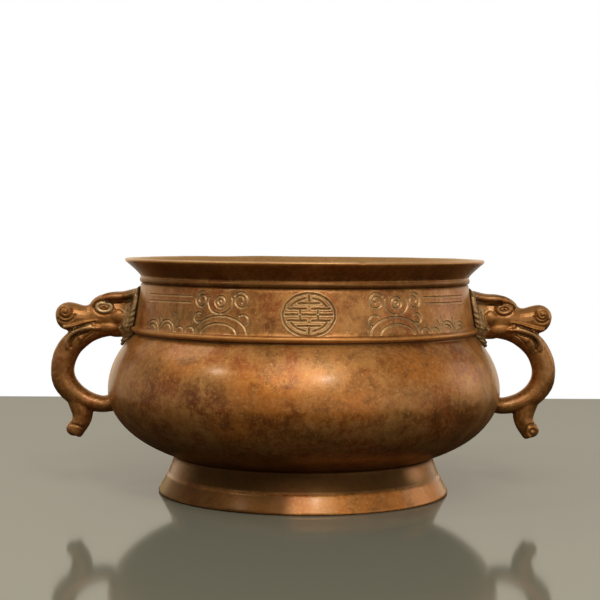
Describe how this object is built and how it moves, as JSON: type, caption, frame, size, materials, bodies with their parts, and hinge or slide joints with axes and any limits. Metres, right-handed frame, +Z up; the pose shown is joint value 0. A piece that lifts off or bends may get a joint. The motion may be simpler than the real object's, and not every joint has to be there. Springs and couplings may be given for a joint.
{
  "type": "bronze incense burner",
  "caption": "Round footed bronze bowl with a flared lip, an incised band above a swelling belly, and a beast-head loop handle on each side",
  "frame": {"origin": "centre of the foot ring, on the surface it stands on", "axes": "+Z up along the bowl's axis, -Y the front with the roundel, handles on +X and -X"},
  "size_m": [0.2124, 0.164, 0.0975],
  "materials": {
    "vessel_bronze": "satin",
    "handle_bronze": "satin"
  },
  "bodies": {
    "root": {"vessel": "vessel_bronze", "dragon_handle_left": "handle_bronze", "dragon_handle_right": "handle_bronze"}
  },
  "joints": []
}
